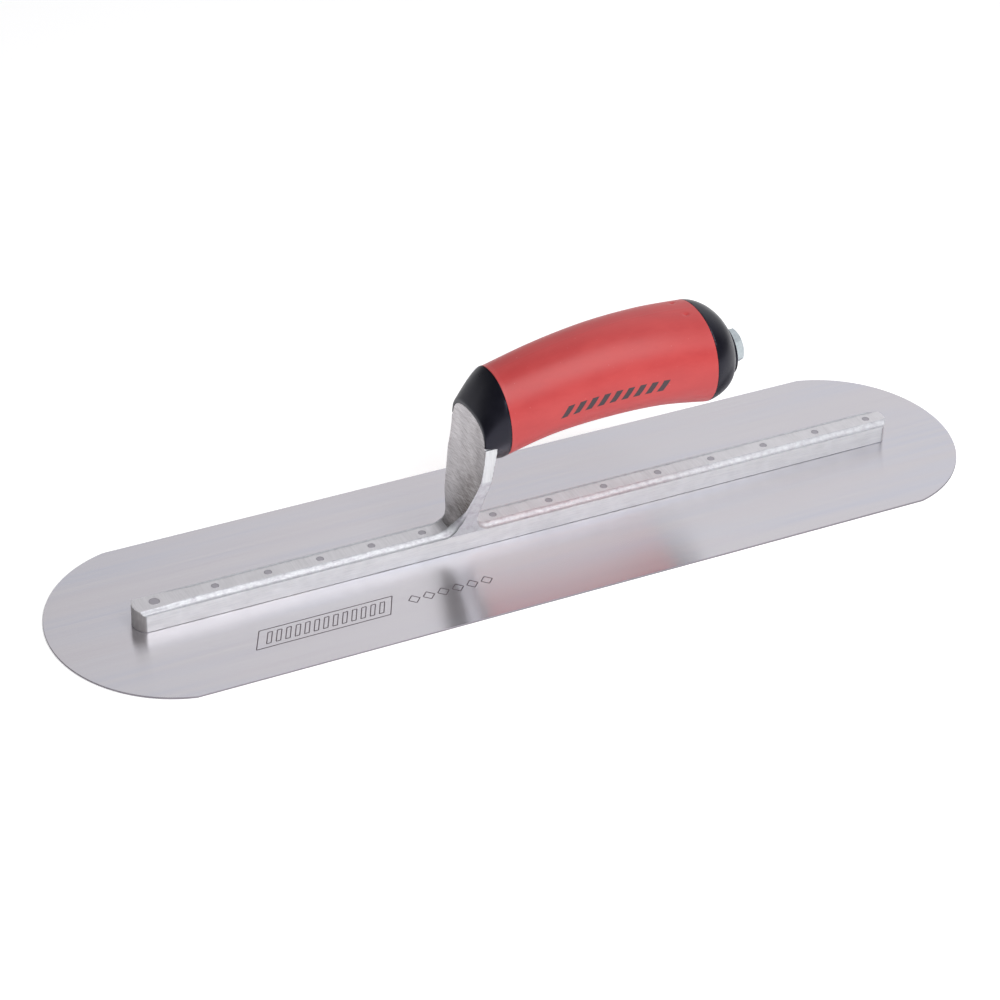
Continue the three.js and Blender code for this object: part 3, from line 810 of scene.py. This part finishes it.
def mounting_field(x, y, z):
    """Spine, shank and spigot as one casting, ground on its sides, land and front."""
    front = front_distance(np.abs(y), z)
    lumps = LUMP_HEIGHT * cast_lumps(x, y, z)
    cast_edge = smooth_step(*CAST_EDGE_Z, z) * (1 - smooth_step(KINK_Z - CAST_EDGE_FADE, KINK_Z, z))
    base = round_max(base_side(x, z), front + (lumps + LUMP_HEIGHT) * cast_edge, EDGE_ROUND)
    fade = smooth_step(*LEAF_FADE_Z, z)
    top = rib_side(x, z)
    inset = (SPINE_HALF_WIDTH - RIB_HALF_WIDTH) * (1 - fade)
    radius = RIB_ROUND * (1 - fade) + EDGE_ROUND
    overshoot = RIB_OVERSHOOT + FRONT_OVERSHOOT * smooth_step(*FRONT_OVERSHOOT_X, -x)
    rib = round_max(top + (lumps - overshoot) * (1 - fade), front + inset + lumps, radius)
    rib = np.maximum(rib, top)
    solid = round_min(base, rib, RIB_FILLET)
    front_end = np.hypot(np.minimum(x - SPINE_FRONT - SPINE_END_RADIUS, 0), y) - SPINE_END_RADIUS
    rear_end = np.hypot(np.maximum(x - SPINE_REAR + SPINE_END_RADIUS, 0), y) - SPINE_END_RADIUS
    above_spine = smooth_step(LAND_Z + 2 * PAST, LAND_Z + 3 * PAST, z)
    plan = np.maximum(front_end, rear_end) - FAR * above_spine  # the ends' rounds stop at the spine
    solid = round_max(solid, plan, END_ROUND)
    foot = np.maximum(plan, np.abs(y) - SPINE_HALF_WIDTH) + CONTACT_CHAMFER - (z - THICKNESS)
    solid = np.maximum(solid, foot / math.sqrt(2))
    spigot = axis_bar(x, y, z, SPIGOT_RADIUS, SPIGOT_ROOT - PAST, SPIGOT_ROOT + SPIGOT_LENGTH)
    solid = np.minimum(solid, spigot)
    tapped = axis_bar(x, y, z, BOLT_RADIUS + FIT, SPIGOT_ROOT + SPIGOT_FLOOR, SPIGOT_ROOT + 2 * SPIGOT_LENGTH)
    holes = np.min([np.hypot(x - cx, y) - radius for cx, radius in RIVET_PLACES], axis=0)
    holes = np.maximum(holes, z - LAND_Z - 2 * PAST)
    return np.maximum(solid, -np.minimum(tapped, holes))


CAST, SIDE, LAND, LEAF, END, EDGE = range(6)  # the mounting's finishes, in its materials' order


def face_kinds(piece):
    """Gives each face of the mounting its finish: cast, or one of its five ground finishes."""
    mesh = piece.data
    count = len(mesh.polygons)
    normals = np.empty(count * 3)
    centres = np.empty(count * 3)
    mesh.polygons.foreach_get("normal", normals)
    mesh.polygons.foreach_get("center", centres)
    nx, ny, nz = np.abs(normals.reshape(-1, 3).T)
    x, y, z = centres.reshape(-1, 3).T / MM
    kinds = np.full(count, CAST, np.int32)
    kinds[(ny > UPRIGHT) & (z < SIDE_Z + 0.2)] = SIDE
    kinds[(ny > UPRIGHT) & (z > KINK_Z)] = EDGE
    on_top = (rib_side(x, z) > -GROUND_DEPTH) & (z > LAND_Z - 0.1) & (x < SPINE_REAR)
    kinds[on_top & (nz > 0.5)] = LAND
    kinds[on_top & (nz <= 0.8) & (x < HEAD_REAR_X - 1)] = LEAF
    end_zone = (x < SPINE_FRONT + SPINE_END_RADIUS) | (x > SPINE_REAR - SPINE_END_RADIUS)
    kinds[end_zone & (nz < 0.5) & (nx > 0.5)] = END
    mesh.polygons.foreach_set("material_index", kinds)


def make_mounting():
    coarse, fine, cell = 1.3, 0.37, 0.40  # grid steps along the spine, near its features and across it
    zones = [(cx - 3, cx + 3) for cx, _ in RIVET_PLACES]
    zones += [(SPINE_FRONT - PAST, SPINE_FRONT + 8), SHANK_ZONE, (SPINE_REAR - 8, SPINE_REAR + PAST)]
    xs = graded(SPINE_FRONT - coarse, SPINE_REAR + PAST, coarse, fine, zones)
    ys = graded(-SHANK_HALF_WIDTH - 1.1, SHANK_HALF_WIDTH + PAST, cell)
    zs = graded(THICKNESS - 0.9, HEAD_TOP_Z + 4 * PAST, cell)
    blocks = [  # round the spine, the shank with its head, and the spigot
        ((SPINE_FRONT - 2, -7.5, THICKNESS - 1), (SPINE_REAR + 2, 7.5, 13)),
        ((-44, -17, THICKNESS - 1), (-14, 17, HEAD_TOP_Z + 4)),
        ((-22, -8, 48), (4, 8, HEAD_TOP_Z + 4)),
    ]
    piece = make_object("mounting_casting", contour(mounting_field, (xs, ys, zs), blocks), sharp_angle=35)
    across = math.pi / 2
    materials = [
        cast_aluminium(),
        ground_aluminium("ground_side", (0.90, 0.91, 0.93), 0, (7, 0.5, 0.22), 0.54, 0.04),
        ground_aluminium("ground_land", (0.79, 0.775, 0.80), across, (9, 0.4, 0.5), 0.42, 0.03),
        ground_leaf(),
        ground_aluminium("ground_end", (0.90, 0.87, 0.87), 0, (0.5, 0.5, 8), 0.40, 0.035),
        ground_aluminium("ground_edge", (0.76, 0.77, 0.79), 0, (0.4, 0.5, 7), 0.50, 0.03),
    ]
    finish_piece(piece, ["mounting"], materials)
    face_kinds(piece)


# ==== Handle ====

def spline_height(heights):
    """Catmull-Rom curve through the station heights, as a function of x."""
    points = np.array(list(zip(GRIP_STATIONS, heights)), float)
    padded = np.vstack([points[0], points, points[-1]])
    samples = []
    for a, b, c, d in zip(padded, padded[1:], padded[2:], padded[3:]):
        t = np.linspace(0, 1, 60, endpoint=False)[:, None]
        samples.append(b + 0.5 * t * (c - a) + t * t * (a - 2.5 * b + 2 * c - 0.5 * d)
                       + t ** 3 * 0.5 * (d - a + 3 * (b - c)))
    curve = np.vstack([*samples, points[-1:]])
    return lambda x: np.interp(x, curve[:, 0], curve[:, 1])


crest_height = spline_height(GRIP_CREST_Z)
belly_height = spline_height(GRIP_BELLY_Z)


def blend(a, b, share):
    return a + (b - a) * share


def handle_section(x):
    """Crest, belly, half width and squareness of the handle's skin in the plane at x."""
    along = (x - GRIP_STATIONS[0]) / (GRIP_STATIONS[-1] - GRIP_STATIONS[0])
    crest, belly = crest_height(x), belly_height(x)
    width = blend(*GRIP_HALF_WIDTHS, along)
    out = np.clip((NOSE_FROM_X - x) / (NOSE_FROM_X - NOSE_RIM_X), 0, 1)
    crest = blend(crest, NOSE_RIM_TOP_Z, out ** NOSE_CREST_POWER)
    belly = blend(belly, NOSE_RIM_BELLY_Z, out)
    width = blend(width, NOSE_RIM_HALF_WIDTH, out)
    power = blend(SECTION_POWER, NOSE_RIM_POWER, out)
    out = np.clip((x - REAR_SEAM[0]) / (TAIL_END_X - REAR_SEAM[0]), 0, 1)
    kept = (1 - out ** TAIL_ROUND_POWER) ** (1 / TAIL_ROUND_POWER)
    kept_belly = (1 - out ** TAIL_BELLY_POWER) ** (1 / TAIL_BELLY_POWER)
    crest = blend(AXIS_REAR[2] + TAIL_END_RADIUS, crest, kept)
    belly = blend(AXIS_REAR[2] - TAIL_END_RADIUS, belly, kept_belly)
    width = blend(TAIL_END_RADIUS, width, kept)
    return crest, belly, width, power


def skin_distance(x, y, z):
    crest, belly, width, power = handle_section(x)
    height = (crest - belly) / 2
    across = np.abs(y) / width
    up = np.abs(z - (crest + belly) / 2) / height
    return ((across ** power + up ** power) ** (1 / power) - 1) * np.minimum(width, height)


def seam_x(seam, z):
    return seam[0] + seam[1] * (z - LEAN_LEVEL_Z)


pocket_distance = outline_distance(head_arch() + [(-HEAD_HALF_WIDTH, 45), (HEAD_HALF_WIDTH, 45)])
REAR_CURVE_X = [x for x, _ in REAR_CURVE[::-1]]
REAR_CURVE_Z = [z for _, z in REAR_CURVE[::-1]]


def shank_room(x, y, z):
    """The room that the shank and its head take in the nose."""
    rear = np.interp(z, REAR_CURVE_Z, REAR_CURVE_X)
    slope = (LEDGE_REAR_Z - LEDGE_FRONT_Z) / (HEAD_REAR_X - HEAD_FRONT_X)
    ledge = LEDGE_FRONT_Z + slope * (x - HEAD_FRONT_X)
    below = np.maximum(x - rear, z - ledge)
    pocket = np.maximum(pocket_distance(y, z), x - HEAD_REAR_X)
    return np.minimum(below, pocket) - FIT


def core_field(x, y, z):
    """Nose and tail out to the skin, and a waist between them under the grip."""
    skin = skin_distance(x, y, z)
    under_grip = np.minimum(x - seam_x(FRONT_SEAM, z), seam_x(REAR_SEAM, z) - x) + FIT / 2
    ends = round_max(skin, under_grip, SEAM_ROUND)
    waist = skin + GRIP_WALL + FIT
    body = np.minimum(ends, waist)
    body = round_max(body, np.maximum(NOSE_RIM_X - x, x - TAIL_END_X), CORE_END_ROUND)
    room = round_max(body, -shank_room(x, y, z), POCKET_ROUND)
    along, away = along_axis(x, y, z)
    bore = away - BOLT_RADIUS - FIT
    socket = np.maximum(away - SPIGOT_RADIUS - FIT, along - SPIGOT_ROOT - SPIGOT_LENGTH - FIT)
    seat = np.maximum(away - PLUG_RADIUS - FIT, -PLUG_THICKNESS - FIT - along)
    return np.maximum(room, -np.minimum(bore, np.minimum(socket, seat)))


def make_core():
    coarse, fine, cell = 1.5, 0.4, 0.5  # grid steps along the handle, at its ends and across it
    zones = [(NOSE_RIM_X - PAST, -12), (REAR_SEAM[0] - 3, TAIL_END_X + PAST)]
    xs = graded(NOSE_RIM_X - 0.9, TAIL_END_X + PAST, coarse, fine, zones)
    ys = graded(-CORE_HIGH[1] - 1.1, CORE_HIGH[1] + PAST, cell)
    zs = graded(CORE_LOW[2] - 1.1, CORE_HIGH[2] + PAST, cell)
    whole = [((xs[0], ys[0], zs[0]), (xs[-1], ys[-1], zs[-1]))]
    piece = make_object("handle_core_moulding", contour(core_field, (xs, ys, zs), whole), sharp_angle=45)
    finish_piece(piece, ["handle_core"], [black_plastic()])


def grip_ring(seam, inset):
    """A ring of points of the handle's skin in a leaning plane, inset below it."""
    angle = np.arange(GRIP_SIDES) * 2 * math.pi / GRIP_SIDES
    x = np.full(GRIP_SIDES, float(seam[0]))
    for _ in range(4):  # x depends on the height, which depends on x
        crest, belly, width, power = handle_section(x)
        cosine, sine = np.cos(angle), np.sin(angle)
        y = (width - inset) * np.sign(cosine) * np.abs(cosine) ** (2 / power)
        z = (crest + belly) / 2 + ((crest - belly) / 2 - inset) * np.sign(sine) * np.abs(sine) ** (2 / power)
        x = seam_x(seam, z)
    return np.stack([x, y, z], axis=1)


def seam_between(share):
    return [blend(a, b, share) for a, b in zip(FRONT_SEAM, REAR_SEAM)]


def moved(seam, distance):
    return [seam[0] + distance, seam[1]]


def make_grip():
    """The soft sleeve, with a fine parting line and two gate marks."""
    depths = GRIP_LIP * (1 - np.sin(np.linspace(0, math.pi / 2, LIP_STEPS)))
    rings = [grip_ring(moved(FRONT_SEAM, depth), depth) for depth in depths]
    rings += [grip_ring(seam_between(share), 0) for share in np.linspace(0.008, 0.992, GRIP_STEPS)]
    rings += [grip_ring(moved(REAR_SEAM, -depth), depth) for depth in depths[::-1]]
    outer = len(rings)
    rings.append(grip_ring(REAR_SEAM, GRIP_WALL))
    rings += [grip_ring(seam_between(share), GRIP_WALL) for share in np.linspace(0.9, 0.1, LINING_STEPS)]
    rings.append(grip_ring(FRONT_SEAM, GRIP_WALL))
    points = np.array(rings)
    skin = points[:outer]
    ridge = PARTING_HEIGHT * np.exp(-(skin[..., 1] / PARTING_WIDTH) ** 2)
    skin[..., 2] += ridge * np.sign(skin[..., 2] - LEAN_LEVEL_Z)
    for gate_x, gate_y in GATE_MARKS:
        away = np.hypot(skin[..., 0] - gate_x, skin[..., 1] - gate_y)
        pit = GATE_DEPTH * np.exp(-(away / GATE_WIDTH) ** 2)
        skin[..., 2] -= pit * (skin[..., 2] > LEAN_LEVEL_Z)
    faces = [face[::-1] for face in ring_faces(len(points), GRIP_SIDES, True)]
    piece = make_object("grip_sleeve_soft", (points.reshape(-1, 3), faces), sharp_angle=50)
    finish_piece(piece, ["grip_sleeve"], [soft_rubber()])


# ==== Plain marks ====

class Film:
    """Thin closed plates laid on a surface. place(u, v, lift) gives a point on or just off it."""

    def __init__(self, place):
        self.place = place
        self.vertices = []
        self.faces = []

    def plate(self, corners):
        """One plate with these corners [u, v], counter-clockwise."""
        first, count = len(self.vertices), len(corners)
        for lift in (-MARK_FILM, MARK_FILM):
            self.vertices += [self.place(u, v, lift) for u, v in corners]
        self.faces.append(tuple(range(first, first + count))[::-1])
        self.faces.append(tuple(range(first + count, first + 2 * count)))
        for i in range(count):
            a, b = first + i, first + (i + 1) % count
            self.faces.append((a, b, b + count, a + count))

    def outline(self, corners, width):
        """A line of that width along a closed outline, as one plate a side."""
        for (au, av), (bu, bv) in zip(corners, corners[1:] + corners[:1]):
            length = math.hypot(bu - au, bv - av)
            ou, ov = (bv - av) / length * width / 2, (au - bu) / length * width / 2
            self.plate([(au + ou, av + ov), (bu + ou, bv + ov), (bu - ou, bv - ov), (au - ou, av - ov)])


def leaning_box(start, end, half_height, lean):
    return [(start - lean, -half_height), (end - lean, -half_height), (end + lean, half_height),
            (start + lean, half_height)]


def make_blade_mark():
    """A plain etched device: a hatched leaning plate followed by a row of lozenges."""
    film = Film(lambda u, v, lift: (u, v + ETCH_CENTRE_Y, THICKNESS + lift))
    film.outline(leaning_box(*PLATE_X, PLATE_HALF_HEIGHT, PLATE_LEAN), ETCH_LINE)
    hatch_lean = PLATE_LEAN * HATCH_HALF_HEIGHT / PLATE_HALF_HEIGHT
    for x in np.arange(PLATE_X[0] + HATCH_PITCH, PLATE_X[1] - HATCH_PITCH / 2, HATCH_PITCH):
        film.outline(leaning_box(x, x + HATCH_WIDTH, HATCH_HALF_HEIGHT, hatch_lean), ETCH_LINE)
    size = LOZENGE_HALF_SIZE
    for x in np.linspace(*LOZENGE_X, LOZENGES):
        film.outline([(x - size, 0), (x, -size), (x + size, 0), (x, size)], ETCH_LINE)
    piece = make_object("blade_etching", (film.vertices, film.faces))
    material = mark("etched_mark", (0.07, 0.055, 0.065), (0.16, 0.135, 0.15))
    finish_piece(piece, [], [material])


def on_grip(x, up, lift):
    """A point on the near side of the grip, so far up from the print's middle line."""
    crest, belly, width, power = handle_section(x)
    height = (crest - belly) / 2
    turn = PRINT_TURN + up / height
    y = -(width + lift) * abs(math.cos(turn)) ** (2 / power)
    z = (crest + belly) / 2 + (height + lift) * math.copysign(abs(math.sin(turn)) ** (2 / power), turn)
    return x, y, z


def make_grip_print():
    """A plain printed band of leaning dashes on the grip's near side."""
    film = Film(on_grip)
    pitch = (PRINT_X[1] - PRINT_X[0]) / PRINT_DASHES
    rows = np.linspace(-PRINT_HALF_HEIGHT, PRINT_HALF_HEIGHT, PRINT_ROWS)
    for i in range(PRINT_DASHES):
        x = PRINT_X[0] + i * pitch
        left = [(x + PRINT_LEAN * v / PRINT_HALF_HEIGHT, v) for v in rows]
        right = [(u + PRINT_FILL * pitch, v) for u, v in left]
        for k in range(len(rows) - 1):
            film.plate([left[k], right[k], right[k + 1], left[k + 1]])
    piece = make_object("grip_print", (film.vertices, film.faces))
    material = mark("printed_mark", (0.045, 0.032, 0.04), (0.085, 0.055, 0.065))
    finish_piece(piece, [], [material])


# ==== Plug and bolt ====

def make_plug():
    corners = [(BOLT_RADIUS + FIT, -PLUG_THICKNESS), (PLUG_RADIUS, -PLUG_THICKNESS), (PLUG_RADIUS, 0),
               (BOLT_RADIUS + FIT, 0)]
    shape = turned(rounded_profile(corners, PLUG_ROUND), PLUG_SIDES)
    piece = make_object("end_plug_cap", onto_axis(shape))
    finish_piece(piece, ["end_plug"], [black_plastic("plug_black")])


def bolt_field(x, y, z):
    """Hex head with chamfered corners and a thin washer face, on a plain shaft, about +Z."""
    radial = np.hypot(x, y)
    turns = [HEAD_TURN + math.pi / 6 + k * math.pi / 3 for k in range(6)]
    half = HEAD_FLATS / 2
    flats = np.max([x * math.cos(a) + y * math.sin(a) for a in turns], axis=0) - half
    top = FIT + HEAD_HEIGHT
    cone = (radial - half * CORNER_CUT_SHARE) * math.sin(CORNER_CUT) + (z - top) * math.cos(CORNER_CUT)
    head = round_max(np.maximum(flats, cone), np.maximum(z - top, FIT + WASHER_HEIGHT - z), HEAD_ROUND)
    washer = np.maximum(radial - half * WASHER_SHARE, np.maximum(FIT - z, z - FIT - PAST))
    shaft = np.maximum(radial - BOLT_RADIUS, np.maximum(-BOLT_LENGTH - z, z - FIT - PAST))
    return np.minimum(np.minimum(head, washer), shaft)


def make_bolt():
    coarse, cell = 2.5, 0.26  # grid steps along the shaft and at the head
    reach = HEAD_FLATS / math.sqrt(3) + 0.7
    sides = graded(-reach, reach, cell)
    zs = graded(-BOLT_LENGTH - 1.7, HEAD_HEIGHT + PAST, coarse, cell, [(0, HEAD_HEIGHT + PAST)])
    blocks = [((-reach, -reach, zs[0]), (reach, reach, zs[-1]))]
    shape = contour(bolt_field, (sides, sides, zs), blocks)
    piece = make_object("handle_bolt_zinc", onto_axis(shape), sharp_angle=35)
    finish_piece(piece, ["handle_bolt"], [zinc_plate()])


# ==== Stage ====

def camera_axes():
    """The camera's right, up and backward directions."""
    a, e, r = CAMERA_AZIMUTH, CAMERA_ELEVATION, CAMERA_ROLL
    back = np.array([math.sin(a) * math.cos(e), -math.cos(a) * math.cos(e), math.sin(e)])
    right = np.array([math.cos(a), math.sin(a), 0])
    up = np.cross(back, right)
    return math.cos(r) * right + math.sin(r) * up, math.cos(r) * up - math.sin(r) * right, back


def make_camera():
    right, up, back = camera_axes()
    data = bpy.data.cameras.new("camera")
    data.lens = CAMERA_LENS
    data.sensor_width = SENSOR_WIDTH
    data.clip_end = CAMERA_REACH
    camera = add_object("camera", data)
    place = AIM_RIGHT * right + AIM_UP * up + CAMERA_DISTANCE * back
    turn = Matrix(np.stack([right, up, back], axis=1).tolist()).to_4x4()
    camera.matrix_world = Matrix.Translation(Vector(place * MM)) @ turn
    bpy.context.scene.camera = camera


def area_light(name, place, size, power):
    """A rectangular light that faces the origin."""
    data = bpy.data.lights.new(name, "AREA")
    data.shape = "RECTANGLE"
    data.size, data.size_y = size
    data.energy = power
    turn = (-Vector(place)).to_track_quat("-Z", "Y").to_matrix().to_4x4()
    add_object(name, data).matrix_world = Matrix.Translation(Vector(place)) @ turn


def make_world():
    """A dim studio with a broad soft pale wall, seen itself as a plain pale backdrop."""
    world = bpy.data.worlds.new("studio")
    bpy.context.scene.world = world
    w = Nodes(world)
    facing = w.node("ShaderNodeVectorMath", operation="DOT_PRODUCT")
    facing.inputs[1].default_value = WALL_DIRECTION
    w.link(w.node("ShaderNodeTexCoord").outputs["Generated"], facing.inputs[0])
    level = w.remap(facing.outputs["Value"], (WALL_EDGE, 1), (ROOM_LIGHT, ROOM_LIGHT + WALL_LIGHT))
    room = w.tree.nodes["Background"]
    room.inputs["Color"].default_value = (0.98, 0.98, 1.0, 1)
    w.link(level, room.inputs["Strength"])
    backdrop = w.node("ShaderNodeBackground")
    backdrop.inputs["Color"].default_value = (1, 1, 1, 1)
    choice = w.node("ShaderNodeMixShader")
    w.link(w.node("ShaderNodeLightPath").outputs["Is Camera Ray"], choice.inputs["Fac"])
    w.link(room.outputs["Background"], choice.inputs[1])
    w.link(backdrop.outputs["Background"], choice.inputs[2])
    w.link(choice.outputs["Shader"], w.tree.nodes["World Output"].inputs["Surface"])


def make_floor():
    pale = (0.90, 0.90, 0.90, 1)
    glow = {"Emission_Color": pale, "Emission_Strength": FLOOR_GLOW}
    s = Shader("floor_pale", Roughness=0.9, Base_Color=pale, **glow)
    corners = [(FLOOR_HALF * x, FLOOR_HALF * y, 0) for x, y in ((-1, -1), (1, -1), (1, 1), (-1, 1))]
    mesh = bpy.data.meshes.new("floor")
    mesh.from_pydata(corners, [], [(0, 1, 2, 3)])
    mesh.materials.append(s.material)
    floor = add_object("floor", mesh)
    floor.location.z = -FLOOR_DROP


make_camera()
make_world()
make_floor()
area_light("key", KEY_PLACE, KEY_SIZE, KEY_POWER)
area_light("low_fill", FILL_PLACE, FILL_SIZE, FILL_POWER)
make_blade()
make_rivets()
make_mounting()
make_core()
make_grip()
make_blade_mark()
make_grip_print()
make_plug()
make_bolt()

bpy.context.scene.view_settings.view_transform = "Standard"
